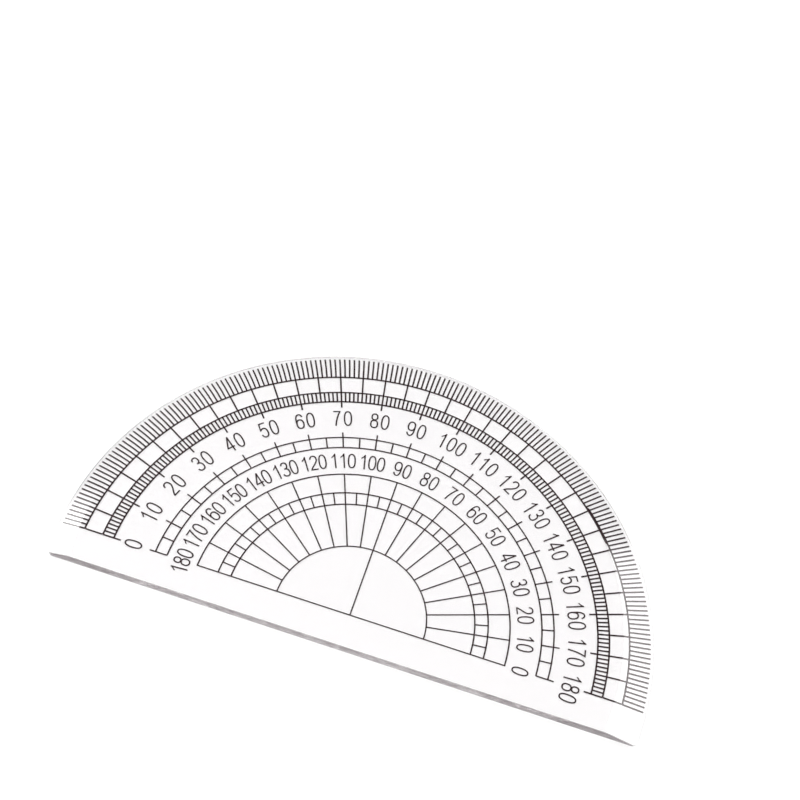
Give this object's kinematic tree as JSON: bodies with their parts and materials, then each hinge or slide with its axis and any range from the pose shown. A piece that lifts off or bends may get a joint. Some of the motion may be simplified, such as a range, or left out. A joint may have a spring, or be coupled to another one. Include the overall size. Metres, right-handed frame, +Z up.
{
  "type": "protractor",
  "caption": "Clear half-round plastic protractor with a sloping round edge and two degree scales printed underneath, for reading and drawing angles up to 180 degrees.",
  "frame": {"origin": "the centre mark, where the base line meets the 90 degree line, on the underside that rests on the paper", "axes": "+X along the base line towards the right-hand end, +Y towards the middle of the arc, +Z up out of the top face"},
  "size_m": [0.1, 0.0561, 0.002],
  "materials": {
    "clear_plastic": "gloss",
    "ink": "matte"
  },
  "bodies": {
    "root": {"plate": "clear_plastic", "degree_ticks": "ink", "five_degree_cells": "ink", "degree_band": "ink", "middle_ring": "ink", "outer_rays": "ink", "small_ring": "ink", "inner_rays": "ink", "base_line": "ink", "centre_line": "ink", "outer_numeral_0": "ink", "outer_numeral_10": "ink", "outer_numeral_20": "ink", "outer_numeral_30": "ink", "outer_numeral_40": "ink", "outer_numeral_50": "ink", "outer_numeral_60": "ink", "outer_numeral_70": "ink", "outer_numeral_80": "ink", "outer_numeral_90": "ink", "outer_numeral_100": "ink", "outer_numeral_110": "ink", "outer_numeral_120": "ink", "outer_numeral_130": "ink", "outer_numeral_140": "ink", "outer_numeral_150": "ink", "outer_numeral_160": "ink", "outer_numeral_170": "ink", "outer_numeral_180": "ink", "inner_numeral_0": "ink", "inner_numeral_10": "ink", "inner_numeral_20": "ink", "inner_numeral_30": "ink", "inner_numeral_40": "ink", "inner_numeral_50": "ink", "inner_numeral_60": "ink", "inner_numeral_70": "ink", "inner_numeral_80": "ink", "inner_numeral_90": "ink", "inner_numeral_100": "ink", "inner_numeral_110": "ink", "inner_numeral_120": "ink", "inner_numeral_130": "ink", "inner_numeral_140": "ink", "inner_numeral_150": "ink", "inner_numeral_160": "ink", "inner_numeral_170": "ink", "inner_numeral_180": "ink"}
  },
  "joints": []
}
